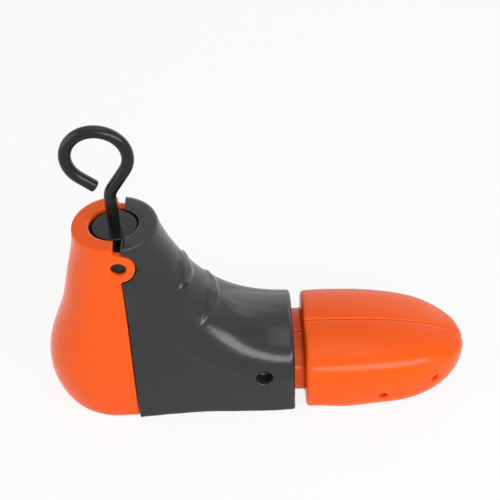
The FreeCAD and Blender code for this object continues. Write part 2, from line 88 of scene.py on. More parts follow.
# Sizes, colours and stage values that a user would change
class StretcherSizes(bpy.types.PropertyGroup):
    """Sizes of the dressed pieces"""
    skin: bpy.props.FloatProperty(
        name="Skin", description="Mesh size of the moulded skins", default=0.8 * MM, **LENGTH)
    rounding: bpy.props.IntProperty(
        name="Rounding", description="Smoothing passes that round the moulded edges", default=5)
    pad_height: bpy.props.FloatProperty(
        name="Pad height", description="Rise of the pads across the instep", default=1.1 * MM, **LENGTH)
    pad_back: bpy.props.FloatProperty(
        name="Pad back", description="Width of the slope at a pad's upper edge", default=2.0 * MM, **LENGTH)
    pad_front: bpy.props.FloatProperty(
        name="Pad front", description="Width of the slope at a pad's lower edge", default=4.2 * MM, **LENGTH)
    edge_band: bpy.props.FloatProperty(
        name="Edge band", description="Width of the rounded bands where instep and toe face each other",
        default=4.0 * MM, **LENGTH)
    toe_gap: bpy.props.FloatProperty(
        name="Toe gap", description="Distance from the instep's front edge to the toe's back edge",
        default=6.0 * MM, **LENGTH)
    edge_rounding: bpy.props.IntProperty(
        name="Edge rounding", description="Smoothing passes in those bands", default=24)
    crease_depth: bpy.props.FloatProperty(
        name="Crease depth", description="Step at the crease down each side", default=0.3 * MM, **LENGTH)
    rod: bpy.props.FloatProperty(
        name="Rod", description="Radius of the crank rod", default=3.2 * MM, **LENGTH)
    tail_round: bpy.props.FloatProperty(
        name="Tail round", description="Rounding of the hook's free end", default=0.8 * MM, **LENGTH)
    loop: bpy.props.FloatProperty(
        name="Loop", description="Radius of the hook at the middle of the rod", default=15.5 * MM, **LENGTH)
    loop_height: bpy.props.FloatProperty(
        name="Loop height", description="Height of the middle of the hook", default=161.8 * MM, **LENGTH)
    loop_offset: bpy.props.FloatProperty(
        name="Loop offset", description="Distance of the hook's middle behind the spindle",
        default=3.7 * MM, **LENGTH)
    neck_flare: bpy.props.FloatProperty(
        name="Neck flare", description="Lean of the rod where it enters the hook",
        default=math.radians(34), **ANGLE)
    neck_bend: bpy.props.FloatProperty(
        name="Neck bend", description="Radius of the bend below the hook", default=12 * MM, **LENGTH)
    tail_flare: bpy.props.FloatProperty(
        name="Tail flare", description="Lean of the rod where it leaves the hook",
        default=math.radians(50), **ANGLE)
    tail: bpy.props.FloatProperty(
        name="Tail", description="Straight length at the hook's free end", default=9.5 * MM, **LENGTH)
    thread_root: bpy.props.FloatProperty(
        name="Thread root", description="Radius at the root of the spindle's thread",
        default=2.65 * MM, **LENGTH)
    thread_pitch: bpy.props.FloatProperty(
        name="Thread pitch", description="Travel of the nut in one turn", default=2.0 * MM, **LENGTH)
    thread_low: bpy.props.FloatProperty(
        name="Thread low", description="Height where the thread's turned-down root starts",
        default=13.5 * MM, **LENGTH)
    thread_high: bpy.props.FloatProperty(
        name="Thread high", description="Height where the thread's turned-down root ends",
        default=95.5 * MM, **LENGTH)
    screw_head: bpy.props.FloatProperty(
        name="Screw head", description="Radius of a sole screw's head", default=3.2 * MM, **LENGTH)
    screw_head_height: bpy.props.FloatProperty(
        name="Screw head height", description="Height of a sole screw's head", default=2.2 * MM, **LENGTH)
    screw_shank: bpy.props.FloatProperty(
        name="Screw shank", description="Radius of a sole screw's shank", default=1.6 * MM, **LENGTH)
    recess: bpy.props.FloatProperty(
        name="Cross recess", description="Width across a sole screw's cross recess",
        default=3.4 * MM, **LENGTH)
    recess_bar: bpy.props.FloatProperty(
        name="Recess bar", description="Width of one bar of the cross recess", default=0.8 * MM, **LENGTH)
    recess_depth: bpy.props.FloatProperty(
        name="Recess depth", description="Depth of the cross recess", default=1.3 * MM, **LENGTH)


class StretcherColours(bpy.types.PropertyGroup):
    """Colours of the finishes"""
    orange: bpy.props.FloatVectorProperty(
        name="Orange", description="Heel and toe plastic", default=linear("#F45A0D"), **COLOUR)
    grey: bpy.props.FloatVectorProperty(
        name="Grey", description="Instep plastic", default=linear("#262627"), **COLOUR)
    black: bpy.props.FloatVectorProperty(
        name="Black", description="Crank enamel", default=linear("#111112"), **COLOUR)
    steel: bpy.props.FloatVectorProperty(
        name="Steel", description="Plated screws, pins and rollers", default=linear("#B4B7BA"), **COLOUR)
    brass: bpy.props.FloatVectorProperty(
        name="Brass", description="Bearing bushes and thread insert", default=linear("#BD9550"), **COLOUR)
    acetal: bpy.props.FloatVectorProperty(
        name="Acetal", description="Wedges and push block", default=linear("#1F1F20"), **COLOUR)


class StretcherStage(bpy.types.PropertyGroup):
    """Camera and floor"""
    elevation: bpy.props.FloatProperty(
        name="Elevation", description="Height of the camera above the horizon",
        default=math.radians(41.99), **ANGLE)
    roll: bpy.props.FloatProperty(
        name="Roll", description="Turn of the camera about its own axis",
        default=math.radians(-2.35), **ANGLE)
    distance: bpy.props.FloatProperty(
        name="Distance", description="Distance from the camera to its target",
        default=534.49 * MM, **LENGTH)
    target: bpy.props.FloatVectorProperty(
        name="Target", description="Point that the camera looks at",
        default=(-2.03 * MM, 0.0, 96.5 * MM), subtype="TRANSLATION", unit="LENGTH")
    lens: bpy.props.FloatProperty(
        name="Lens", description="Focal length on a 36 mm sensor", default=71.75, unit="CAMERA")
    shadow: bpy.props.FloatProperty(
        name="Shadow", description="Share of the floor's white that takes the shadow", default=0.14,
        subtype="FACTOR", min=0.0, max=1.0)


# Modelling steps
MERGE_DISTANCE = 0.002 * MM


def pick(piece):
    """Selects one object alone and makes it active."""
    if bpy.context.object and bpy.context.object.mode != "OBJECT":
        bpy.ops.object.mode_set(mode="OBJECT")
    bpy.ops.object.select_all(action="DESELECT")
    piece.select_set(True)
    bpy.context.view_layer.objects.active = piece


def new_piece(name):
    """Names the object that was just added."""
    piece = bpy.context.object
    piece.name = name
    piece.data.name = name
    return piece


def modify(piece, kind, **settings):
    """Adds a modifier with its settings and applies it."""
    pick(piece)
    bpy.ops.object.modifier_add(type=kind)
    modifier = piece.modifiers[-1]
    for key, value in settings.items():
        setattr(modifier, key, value)
    bpy.ops.object.modifier_apply(modifier=modifier.name)


def settle(piece, body, slot, *nodes):
    """Puts a finished piece on its body, in place of its solids, with its finish."""
    pick(piece)
    bpy.ops.object.transform_apply(location=True, rotation=True, scale=True)
    piece.data.materials.clear()
    piece.data.materials.append(finish_of(slot))
    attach(piece, body)
    if nodes:
        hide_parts(*nodes)


def edit_all(piece):
    """Opens a piece in edit mode with all of it selected."""
    pick(piece)
    bpy.ops.object.mode_set(mode="EDIT")
    bpy.ops.mesh.select_all(action="SELECT")


def copy_of(node, name):
    """A copy of a solid's mesh with its loose triangles merged."""
    piece = bpy.data.objects.new(name, frame["nodes"][node].data.copy())
    bpy.context.scene.collection.objects.link(piece)
    edit_all(piece)
    bpy.ops.mesh.remove_doubles(threshold=MERGE_DISTANCE)
    bpy.ops.object.mode_set(mode="OBJECT")
    return piece


def choose(piece, test):
    """Selects, in edit mode, only the vertices of a piece whose place passes a test."""
    bpy.ops.mesh.select_mode(type="VERT")
    bpy.ops.mesh.select_all(action="DESELECT")
    bpy.ops.object.mode_set(mode="OBJECT")
    for vertex in piece.data.vertices:
        vertex.select = test(vertex.co)
    bpy.ops.object.mode_set(mode="EDIT")


def push_out(step):
    """Extrudes the selected face by a step."""
    bpy.ops.mesh.extrude_region_move(TRANSFORM_OT_translate={"value": tuple(step)})


def close_mesh():
    """Merges the mesh in edit mode, turns all its faces outwards and leaves edit mode."""
    bpy.ops.mesh.select_all(action="SELECT")
    bpy.ops.mesh.remove_doubles(threshold=MERGE_DISTANCE)
    bpy.ops.mesh.normals_make_consistent(inside=False)
    bpy.ops.object.mode_set(mode="OBJECT")


# Finishes

# Sockets of a Mix node that mixes colours
MIX_A, MIX_B, MIX_RESULT = 6, 7, 2
# A wave texture's scale times the distance of its bands
WAVE_SCALE = 0.314


def add_node(tree, kind, settings=None, links=None):
    """Adds a node with its settings and links."""
    node = tree.nodes.new(kind)
    for key, value in (settings or {}).items():
        if isinstance(key, int) or key in node.inputs:
            node.inputs[key].default_value = value
        else:
            setattr(node, key, value)
    for key, source in (links or {}).items():
        tree.links.new(source, node.inputs[key])
    return node


def empty_material(name):
    """A material with an empty node tree, and that tree."""
    made = bpy.data.materials.new(name)
    made.use_nodes = True
    made.node_tree.nodes.clear()
    return made, made.node_tree


def shade(colour, share):
    """A colour made lighter or darker by a share."""
    return [min(channel * (1 + share), 1.0) for channel in colour[:3]] + [1.0]


def moulded_abs(name, colour, specular, edge_highlight):
    """ABS of one colour, with its mirror shine and the share by which a painted highlight makes its edges paler.
    """
    # ABS, injection moulded in a polished tool and coloured through: a wet gloss with slow waves where the
    # wall cooled and short rub marks along the foot. Its sharp edges carry a painted highlight that makes them
    # paler
    dark, light = shade(colour, -0.05), shade(colour, 0.05)
    drift_size, wave_size, wave_depth = 40 * MM, 14 * MM, 0.04 * MM
    # Rub marks are drawn 1.2 mm wide, which is coarser than real ones, so that they show
    rub_width, rub_stretch = 1.2 * MM, (0.12, 1.0, 1.0)
    made, tree = empty_material(name)
    place = add_node(tree, "ShaderNodeTexCoord").outputs["Object"]
    drift = add_node(tree, "ShaderNodeTexNoise", {"Scale": 1 / drift_size, "Detail": 2.0}, {"Vector": place})
    tint = add_node(tree, "ShaderNodeMix", {"data_type": "RGBA", MIX_A: dark, MIX_B: light},
                    {"Factor": drift.outputs["Fac"]})
    # Painted highlight: the sharper the skin, the paler its colour, up to the share given for the edges
    sharp = add_node(tree, "ShaderNodeNewGeometry").outputs["Pointiness"]
    edge = add_node(tree, "ShaderNodeMapRange", {"From Min": 0.52, "From Max": 0.6, "To Max": 0.3},
                    {"Value": sharp})
    base = add_node(tree, "ShaderNodeMix", {"data_type": "RGBA", MIX_B: shade(colour, edge_highlight)},
                    {"Factor": edge.outputs["Result"], MIX_A: tint.outputs[MIX_RESULT]})
    along = add_node(tree, "ShaderNodeMapping", {"Scale": rub_stretch}, {"Vector": place})
    rubs = add_node(tree, "ShaderNodeTexNoise", {"Scale": 1 / rub_width, "Detail": 3.0},
                    {"Vector": along.outputs["Vector"]})
    gloss = add_node(tree, "ShaderNodeMapRange",
                     {"From Min": 0.35, "From Max": 0.75, "To Min": 0.19, "To Max": 0.27},
                     {"Value": rubs.outputs["Fac"]})
    waves = add_node(tree, "ShaderNodeTexNoise", {"Scale": 1 / wave_size, "Detail": 1.0}, {"Vector": place})
    bump = add_node(tree, "ShaderNodeBump", {"Distance": wave_depth, "Strength": 1.0},
                    {"Height": waves.outputs["Fac"]})
    surface = add_node(tree, "ShaderNodeBsdfPrincipled", {"IOR": 1.53, "Specular IOR Level": specular}, {
        "Base Color": base.outputs[MIX_RESULT],
        "Roughness": gloss.outputs["Result"],
        "Normal": bump.outputs["Normal"]})
    add_node(tree, "ShaderNodeOutputMaterial", links={"Surface": surface.outputs["BSDF"]})
    return made


def orange_abs(colours):
    """The heel's and the toe's plastic."""
    return moulded_abs("orange moulded ABS", colours.orange, specular=0.18, edge_highlight=0.25)


def grey_abs(colours):
    """The instep's plastic, whose painted edge highlight is stronger."""
    return moulded_abs("grey moulded ABS", colours.grey, specular=0.34, edge_highlight=1.2)


def black_enamel(colours):
    """The crank's coat."""
    # Stoved enamel on bent steel rod: near black, with the slight orange peel that a dipped coat dries with
    dark, light = shade(colours.black, -0.2), shade(colours.black, 0.3)
    peel_size, peel_depth = 2.2 * MM, 0.025 * MM
    made, tree = empty_material("black stoved enamel")
    place = add_node(tree, "ShaderNodeTexCoord").outputs["Object"]
    peel = add_node(tree, "ShaderNodeTexNoise", {"Scale": 1 / peel_size, "Detail": 2.0}, {"Vector": place})
    tint = add_node(tree, "ShaderNodeMix", {"data_type": "RGBA", MIX_A: dark, MIX_B: light},
                    {"Factor": peel.outputs["Fac"]})
    gloss = add_node(tree, "ShaderNodeMapRange", {"To Min": 0.2, "To Max": 0.34},
                     {"Value": peel.outputs["Fac"]})
    bump = add_node(tree, "ShaderNodeBump", {"Distance": peel_depth, "Strength": 1.0},
                    {"Height": peel.outputs["Fac"]})
    surface = add_node(tree, "ShaderNodeBsdfPrincipled", {"IOR": 1.5, "Specular IOR Level": 0.3}, {
        "Base Color": tint.outputs[MIX_RESULT],
        "Roughness": gloss.outputs["Result"],
        "Normal": bump.outputs["Normal"]})
    add_node(tree, "ShaderNodeOutputMaterial", links={"Surface": surface.outputs["BSDF"]})
    return made


def zinc_steel(colours):
    """The screws, pins, rollers and small steel parts."""
    # Turned steel, zinc plated and passivated: tool lines under a cloudy pale coat
    dull, bright = shade(colours.steel, -0.25), shade(colours.steel, 0.1)
    cloud_size = 4 * MM
    # Tool lines are drawn 0.6 mm apart, which is coarser than real ones, so that they show
    line_width, line_depth = 0.6 * MM, 0.008 * MM
    made, tree = empty_material("zinc plated turned steel")
    place = add_node(tree, "ShaderNodeTexCoord").outputs["Object"]
    cloud = add_node(tree, "ShaderNodeTexNoise", {"Scale": 1 / cloud_size, "Detail": 4.0}, {"Vector": place})
    tint = add_node(tree, "ShaderNodeMix", {"data_type": "RGBA", MIX_A: dull, MIX_B: bright},
                    {"Factor": cloud.outputs["Fac"]})
    lines = add_node(tree, "ShaderNodeTexWave",
                     {"wave_type": "BANDS", "bands_direction": "Z", "Scale": WAVE_SCALE / line_width,
                      "Distortion": 0.5},
                     {"Vector": place})
    gloss = add_node(tree, "ShaderNodeMapRange", {"To Min": 0.26, "To Max": 0.45},
                     {"Value": cloud.outputs["Fac"]})
    bump = add_node(tree, "ShaderNodeBump", {"Distance": line_depth, "Strength": 1.0},
                    {"Height": lines.outputs["Fac"]})
    surface = add_node(tree, "ShaderNodeBsdfPrincipled", {"Metallic": 1.0}, {
        "Base Color": tint.outputs[MIX_RESULT],
        "Roughness": gloss.outputs["Result"],
        "Normal": bump.outputs["Normal"]})
    add_node(tree, "ShaderNodeOutputMaterial", links={"Surface": surface.outputs["BSDF"]})
    return made


def sintered_brass(colours):
    """The bearing bushes and the nut's insert."""
    # Pressed and sintered brass, soaked in oil: a sandy face of fused grains with dark pores
    grain, pore = shade(colours.brass, 0.1), shade(colours.brass, -0.5)
    # Grains are drawn 0.5 mm across, which is coarser than real ones, so that they show
    grain_size, pore_depth = 0.5 * MM, 0.03 * MM
    made, tree = empty_material("oiled sintered brass")
    place = add_node(tree, "ShaderNodeTexCoord").outputs["Object"]
    grains = add_node(tree, "ShaderNodeTexVoronoi", {"Scale": 1 / grain_size}, {"Vector": place})
    tint = add_node(tree, "ShaderNodeMix", {"data_type": "RGBA", MIX_A: grain, MIX_B: pore},
                    {"Factor": grains.outputs["Distance"]})
    gloss = add_node(tree, "ShaderNodeMapRange", {"To Min": 0.35, "To Max": 0.6},
                     {"Value": grains.outputs["Distance"]})
    bump = add_node(tree, "ShaderNodeBump", {"Distance": pore_depth, "Strength": 1.0, "invert": True},
                    {"Height": grains.outputs["Distance"]})
    surface = add_node(tree, "ShaderNodeBsdfPrincipled", {"Metallic": 1.0}, {
        "Base Color": tint.outputs[MIX_RESULT],
        "Roughness": gloss.outputs["Result"],
        "Normal": bump.outputs["Normal"]})
    add_node(tree, "ShaderNodeOutputMaterial", links={"Surface": surface.outputs["BSDF"]})
    return made


def milled_acetal(colours):
    """The wedges and the push block."""
    # Milled black acetal: waxy, with the cutter's faint parallel paths
    dark, light = shade(colours.acetal, -0.15), shade(colours.acetal, 0.2)
    path_width, path_depth = 0.9 * MM, 0.02 * MM
    made, tree = empty_material("black milled acetal")
    place = add_node(tree, "ShaderNodeTexCoord").outputs["Object"]
    paths = add_node(tree, "ShaderNodeTexWave",
                     {"wave_type": "BANDS", "bands_direction": "DIAGONAL", "Scale": WAVE_SCALE / path_width,
                      "Distortion": 0.4},
                     {"Vector": place})
    tint = add_node(tree, "ShaderNodeMix", {"data_type": "RGBA", MIX_A: dark, MIX_B: light},
                    {"Factor": paths.outputs["Fac"]})
    gloss = add_node(tree, "ShaderNodeMapRange", {"To Min": 0.4, "To Max": 0.55},
                     {"Value": paths.outputs["Fac"]})
    bump = add_node(tree, "ShaderNodeBump", {"Distance": path_depth, "Strength": 1.0},
                    {"Height": paths.outputs["Fac"]})
    surface = add_node(tree, "ShaderNodeBsdfPrincipled", {"IOR": 1.48}, {
        "Base Color": tint.outputs[MIX_RESULT],
        "Roughness": gloss.outputs["Result"],
        "Normal": bump.outputs["Normal"]})
    add_node(tree, "ShaderNodeOutputMaterial", links={"Surface": surface.outputs["BSDF"]})
    return made


FINISHES = {
    "orange_plastic": orange_abs,
    "grey_plastic": grey_abs,
    "black_metal": black_enamel,
    "bright_steel": zinc_steel,
    "bearing_brass": sintered_brass,
    "black_nylon": milled_acetal,
}
made_finishes = {}


def finish_of(slot):
    """The material of a slot, made once."""
    if slot not in made_finishes:
        made_finishes[slot] = FINISHES[slot](bpy.context.scene.stretcher_colours)
    return made_finishes[slot]


# Mouldings

# Piece, the solid that it stands for, its body and its material slot
MOULDINGS = (
    ("heel_moulding", "heel_shell", "heel", "orange_plastic"),
    ("instep_moulding", "instep_shell", "instep", "grey_plastic"),
    ("toe_moulding_right", "toe_right", "right_toe", "orange_plastic"),
    ("toe_moulding_left", "toe_left", "left_toe", "orange_plastic"),
)
# How far one smoothing pass moves a vertex towards the middle of its neighbours
SMOOTH_SHARE = 0.5
# Share of a rounded band's width that stays free of rounding beside the sole and the seam
BAND_CLEAR_SHARE = 0.5
# Distance behind the toe's back edge from which on the neck stays free of rounding
NECK_CLEAR = 0.5 * MM

# Pads across the instep: upper and lower edge on the ridge, height of the tips and half width, all in mm,
# and the power that bends the upper edge
PADS = (
    ((92.5, 80.4, 83.0, 18.8), 1.6),
    ((72.0, 62.3, 61.6, 25.0), 2.2),
)
# Power that bends a pad's lower edge
PAD_LOWER_BEND = 1.5
# Half width of the solid's own pad as a share of the whole pad's
SOLID_PAD_SHARE = 0.5
# Least lean of the skin forwards and upwards where the pads lie
PAD_FORWARD, PAD_UPWARD = 0.2, 0.1

# Crease down each side of the instep: its ends, in mm in front of the spindle and above the floor
CREASE = ((16.1, 63.7), (51.8, 32.9))
# The crease starts this far behind its first end and deepens over a run-in
CREASE_LEAD, CREASE_RUN_IN = 6 * MM, 10 * MM
# Distance from its first end where it is gone again, after a run-out
CREASE_LENGTH, CREASE_RUN_OUT = 60 * MM, 20 * MM
# Width of its step, and how far below the line the sunk skin comes back
CREASE_STEP, CREASE_REACH = 1.4 * MM, 11 * MM
# Least lean of the skin sideways where the crease lies
CREASE_SIDEWAYS = 0.8


def ramp(value):
    """0 below 0, 1 above 1, and a smooth rise between."""
    value = min(max(value, 0.0), 1.0)
    return value * value * (3 - 2 * value)


def pad_rise(vertex, sizes):
    """Share of the pads' height at a vertex: a steep back, a slow front and pointed tips on both sides."""
    if vertex.normal.x < PAD_FORWARD or vertex.normal.z < PAD_UPWARD:
        return 0.0
    rise = 0.0
    for pad, upper_bend in PADS:
        top, low, tip, half = [size * MM for size in pad]
        out = min(abs(vertex.co.y) / half, 1.0)
        upper = tip + (top - tip) * (1 - out ** upper_bend)
        lower = tip + (low - tip) * (1 - out ** PAD_LOWER_BEND)
        level = ramp((upper - vertex.co.z) / sizes.pad_back) * ramp((vertex.co.z - lower) / sizes.pad_front)
        # The solid's own pad already stands up along the ridge, most at its back
        height = min(max((vertex.co.z - low) / (top - low), 0.0), 1.0)
        solid = height * max(0.0, 1 - (out / SOLID_PAD_SHARE) ** 2)
        rise = max(rise, level * (1 - solid))
    return rise


def crease_sink(vertex):
    """Share of the crease's depth at a vertex of the instep's sides: a step that fades out below it."""
    if abs(vertex.normal.y) < CREASE_SIDEWAYS or vertex.normal.y * vertex.co.y < 0:
        return 0.0
    start, end = [Vector((SPINDLE_X + x * MM, z * MM)) for x, z in CREASE]
    line = (end - start).normalized()
    place = Vector((vertex.co.x, vertex.co.z)) - start
    below = -place.dot(Vector((-line.y, line.x)))
    along = place.dot(line)
    ends = ramp((along + CREASE_LEAD) / CREASE_RUN_IN) * ramp((CREASE_LENGTH - along) / CREASE_RUN_OUT)
    return ramp(below / CREASE_STEP) * math.exp(-max(below, 0) / CREASE_REACH) * ends


def front_band(vertex, sizes):
    """Share of the rounding at the instep's front edge, clear of the sole."""
    forward = ramp((vertex.co.x - INSTEP_FRONT + sizes.edge_band) / sizes.edge_band)
    return forward * ramp(vertex.co.z / sizes.edge_band - BAND_CLEAR_SHARE)


def back_band(vertex, sizes):
    """Share of the rounding at the toe's back edge, clear of the seam and the neck."""
    ahead = vertex.co.x - INSTEP_FRONT - sizes.toe_gap
    if ahead < -NECK_CLEAR:
        return 0.0
    return ramp(1 - ahead / sizes.edge_band) * ramp(abs(vertex.co.y) / sizes.edge_band - BAND_CLEAR_SHARE)


# Bands that round the edges where instep and toe face each other
EDGE_BANDS = {"instep_shell": front_band, "toe_right": back_band, "toe_left": back_band}


def weigh(piece, name, share):
    """Gives each vertex its share in a new vertex group."""
    group = piece.vertex_groups.new(name=name)
    for vertex in piece.data.vertices:
        part = share(vertex)
        if part > 0:
            group.add([vertex.index], part, "REPLACE")


def raise_form(piece, name, share, height):
    """Lifts or sinks the piece's skin along its normals by each vertex's share of a height."""
    weigh(piece, name, share)
    modify(piece, "DISPLACE", vertex_group=name, direction="NORMAL", mid_level=0.0, strength=height)


class STRETCHER_OT_mouldings(bpy.types.Operator):
    """Heel, instep and toe mouldings with rounded edges"""
    bl_idname = "stretcher.mouldings"
    bl_label = "Mouldings"

    def execute(self, context):
        sizes = context.scene.stretcher_sizes
        for name, node, body, slot in MOULDINGS:
            piece = copy_of(node, name)
            modify(piece, "REMESH", mode="VOXEL", voxel_size=sizes.skin, use_smooth_shade=True)
            modify(piece, "SMOOTH", factor=SMOOTH_SHARE, iterations=sizes.rounding)
            if node in EDGE_BANDS:
                band = EDGE_BANDS[node]
                weigh(piece, "edge", lambda vertex: band(vertex, sizes))
                modify(piece, "SMOOTH", factor=SMOOTH_SHARE, iterations=sizes.edge_rounding,
                       vertex_group="edge")
            if node == "instep_shell":
                raise_form(piece, "pads", lambda vertex: pad_rise(vertex, sizes), sizes.pad_height)
                raise_form(piece, "crease", crease_sink, -sizes.crease_depth)
            settle(piece, body, slot, node)
            bpy.ops.object.shade_smooth()
        return {"FINISHED"}


# Crank

# Facets of the rod, its two bends and its rounded end
ROD_SIDES, NECK_STEPS, LOOP_STEPS, TAIL_STEPS = 48, 12, 64, 4
# Facets of one turn of the thread, and sides of its ridge's section
THREAD_STEPS, RIDGE_SIDES = 32, 4
# Angles from which on edges stay sharp
ROD_SHARP = math.radians(35)
THREAD_SHARP = math.radians(30)
# Depth of the thread's ridge in the root, so that no gap shows
THREAD_SUNK = 0.15 * MM
# Width of the ridge's foot as a share of the pitch, and of its crest as a share of its foot
THREAD_FOOT_SHARE, THREAD_CREST_SHARE = 0.84, 0.3
# Turns that the ridge leaves free at least, at both ends of the root together
THREAD_FREE_TURNS = 2


def bend_rod(sizes):
    """The crank's rod: foot, thread root, shank, neck bend, hook and tail."""
    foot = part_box("crank_hook")[0].z
    flare, tail_flare = sizes.neck_flare, sizes.tail_flare
    centre = Vector((SPINDLE_X - sizes.loop_offset, 0, sizes.loop_height))
    rise = Vector((math.sin(flare), 0, math.cos(flare)))
    entry = centre + Vector((math.cos(flare), 0, -math.sin(flare))) * sizes.loop
    corner = entry - rise * ((entry.x - SPINDLE_X) / rise.x)
    tangent = sizes.neck_bend * math.tan(flare / 2)
    bend_low = corner.z - tangent
    step = sizes.rod - sizes.thread_root
    turned = sizes.thread_root / sizes.rod
    bpy.ops.object.select_all(action="DESELECT")
    bpy.ops.mesh.primitive_circle_add(
        vertices=ROD_SIDES, radius=sizes.rod, fill_type="NGON", location=(SPINDLE_X, 0, foot))
    rod = new_piece("crank_rod")
    edit_all(rod)
    push_out((0, 0, sizes.thread_low - step - foot))
    push_out((0, 0, step))
    bpy.ops.transform.resize(value=(turned, turned, 1), center_override=(SPINDLE_X, 0, sizes.thread_low))
    push_out((0, 0, sizes.thread_high - sizes.thread_low))
    push_out((0, 0, step))
    bpy.ops.transform.resize(
        value=(1 / turned, 1 / turned, 1), center_override=(SPINDLE_X, 0, sizes.thread_high + step))
    push_out((0, 0, bend_low - sizes.thread_high - step))
    # Spin turns against the right-hand rule, so its axes point the other way
    bpy.ops.mesh.spin(
        steps=NECK_STEPS, angle=flare, axis=(0, -1, 0), center=(SPINDLE_X + sizes.neck_bend, 0, bend_low))
    push_out(rise * ((entry - corner).length - tangent))
    bpy.ops.mesh.spin(
        steps=LOOP_STEPS, angle=math.pi + flare + tail_flare, axis=(0, 1, 0), center=centre)
    push_out(Vector((math.sin(tail_flare), 0, -math.cos(tail_flare))) * sizes.tail)
    bpy.ops.mesh.bevel(offset=sizes.tail_round, segments=TAIL_STEPS, affect="EDGES")
    close_mesh()
    settle(rod, "spindle", "black_metal", "crank_hook")
    bpy.ops.object.shade_smooth_by_angle(angle=ROD_SHARP)


def wind_thread(sizes):
    """The spindle's thread: a flat-topped ridge, left-handed, so that a clockwise turn lowers the nut."""
    pitch = sizes.thread_pitch
    inner = sizes.thread_root - THREAD_SUNK
    low = sizes.thread_low + pitch
    bpy.ops.object.select_all(action="DESELECT")
    bpy.ops.mesh.primitive_plane_add(size=1.0, location=(SPINDLE_X, 0, 0), rotation=(math.pi / 2, 0, 0))
    thread = new_piece("spindle_thread")
    bpy.ops.object.transform_apply(location=False, rotation=True, scale=False)
    edit_all(thread)
    bpy.ops.transform.resize(
        value=(sizes.rod - inner, 1, pitch * THREAD_FOOT_SHARE), center_override=(SPINDLE_X, 0, 0))
    bpy.ops.transform.translate(value=((sizes.rod + inner) / 2, 0, low))
    choose(thread, lambda place: place.x > (sizes.rod + inner) / 2)
    bpy.ops.transform.resize(value=(1, 1, THREAD_CREST_SHARE), center_override=(SPINDLE_X, 0, low))
    bpy.ops.mesh.select_all(action="SELECT")
    bpy.ops.mesh.delete(type="ONLY_FACE")
    bpy.ops.object.mode_set(mode="OBJECT")
    turns = int((sizes.thread_high - sizes.thread_low) / pitch) - THREAD_FREE_TURNS
    modify(thread, "SCREW", axis="Z", angle=-2 * math.pi, screw_offset=pitch, iterations=turns,
           steps=THREAD_STEPS, render_steps=THREAD_STEPS, use_merge_vertices=False)
    edit_all(thread)
    bpy.ops.mesh.fill_holes(sides=RIDGE_SIDES)
    close_mesh()
    settle(thread, "spindle", "bright_steel")
    bpy.ops.object.shade_smooth_by_angle(angle=THREAD_SHARP)


class STRETCHER_OT_crank(bpy.types.Operator):
    """Hooked crank with its threaded spindle"""
    bl_idname = "stretcher.crank"
    bl_label = "Crank"

    def execute(self, context):
        bend_rod(context.scene.stretcher_sizes)
        wind_thread(context.scene.stretcher_sizes)
        return {"FINISHED"}


# Sole screws

# Facets of a screw, and the angle from which on its edges stay sharp
SCREW_SIDES, SCREW_SHARP = 40, math.radians(30)
# Chamfer of the head's lower rim
SCREW_LIP = 0.4 * MM
# Width of the tip as a share of the shank's
SCREW_TIP_SHARE = 0.3


def turn_screw(sizes, place, length):
    """One sole screw: chamfered head, shank with a turned-down tip, and cross recess."""
    head, shank = sizes.screw_head, sizes.screw_shank
    widen = head / (head - SCREW_LIP)
    bpy.ops.object.select_all(action="DESELECT")
    bpy.ops.mesh.primitive_circle_add(
        vertices=SCREW_SIDES, radius=head - SCREW_LIP, fill_type="NGON", location=place)
    screw = new_piece("sole_screws_crossed")
    edit_all(screw)
    push_out((0, 0, SCREW_LIP))
    bpy.ops.transform.resize(value=(widen, widen, 1), center_override=place)
    push_out((0, 0, sizes.screw_head_height - SCREW_LIP))
    bpy.ops.mesh.inset(thickness=head - shank)
    push_out((0, 0, length - sizes.screw_head_height - shank))
    push_out((0, 0, shank))
    bpy.ops.transform.resize(value=(SCREW_TIP_SHARE, SCREW_TIP_SHARE, 1), center_override=place)
    close_mesh()
    for bar in ((sizes.recess, sizes.recess_bar), (sizes.recess_bar, sizes.recess)):
        bpy.ops.object.select_all(action="DESELECT")
        bpy.ops.mesh.primitive_cube_add(size=1.0, location=place, scale=(*bar, 2 * sizes.recess_depth))
        cutter = new_piece("recess_bar")
        modify(screw, "BOOLEAN", operation="DIFFERENCE", solver="EXACT", object=cutter)
        pick(cutter)
        bpy.ops.object.delete()
    return screw


class STRETCHER_OT_screws(bpy.types.Operator):
    """Cross-recessed screws of the sole plate"""
    bl_idname = "stretcher.screws"
    bl_label = "Sole screws"

    def execute(self, context):
        sizes = context.scene.stretcher_sizes
        low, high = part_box("sole_screws")
        first = Vector((low.x + sizes.screw_head, low.y + sizes.screw_head, low.z))
        span = Vector((high.x - low.x, high.y - low.y)) - Vector((2, 2)) * sizes.screw_head
        screw = turn_screw(sizes, first, high.z - low.z)
        for step in ((span.x, 0), (0, span.y), (span.x, span.y)):
            edit_all(screw)
            choose(screw, lambda place: place.x < span.x / 2 and place.y < span.y / 2)
            bpy.ops.mesh.duplicate_move(TRANSFORM_OT_translate={"value": (*step, 0)})
            bpy.ops.object.mode_set(mode="OBJECT")
        settle(screw, "instep", "bright_steel", "sole_screws")
        bpy.ops.object.shade_smooth_by_angle(angle=SCREW_SHARP)
        return {"FINISHED"}


# Solids
class STRETCHER_OT_finishes(bpy.types.Operator):
    """Finishes of the solids"""
    bl_idname = "stretcher.finishes"
    bl_label = "Finishes"

    def execute(self, context):
        for row in frame["record"]["subparts"]:
            node = frame["nodes"][row["node"]]
            node.data.materials.clear()
            node.data.materials.append(finish_of(row["material_slot"]))
        return {"FINISHED"}


# Stage

WHITE, PAPER = "#FFFFFF", "#F4F4F2"
FLOOR_SIZE = 6.0
# The floor lies this far below the sole, so that the two don't share a plane
FLOOR_DROP = 0.05 * MM
# Strength of the white that the camera sees, and of the sky that lights the object
SEEN_STRENGTH, SKY_STRENGTH = 1.0, 0.18
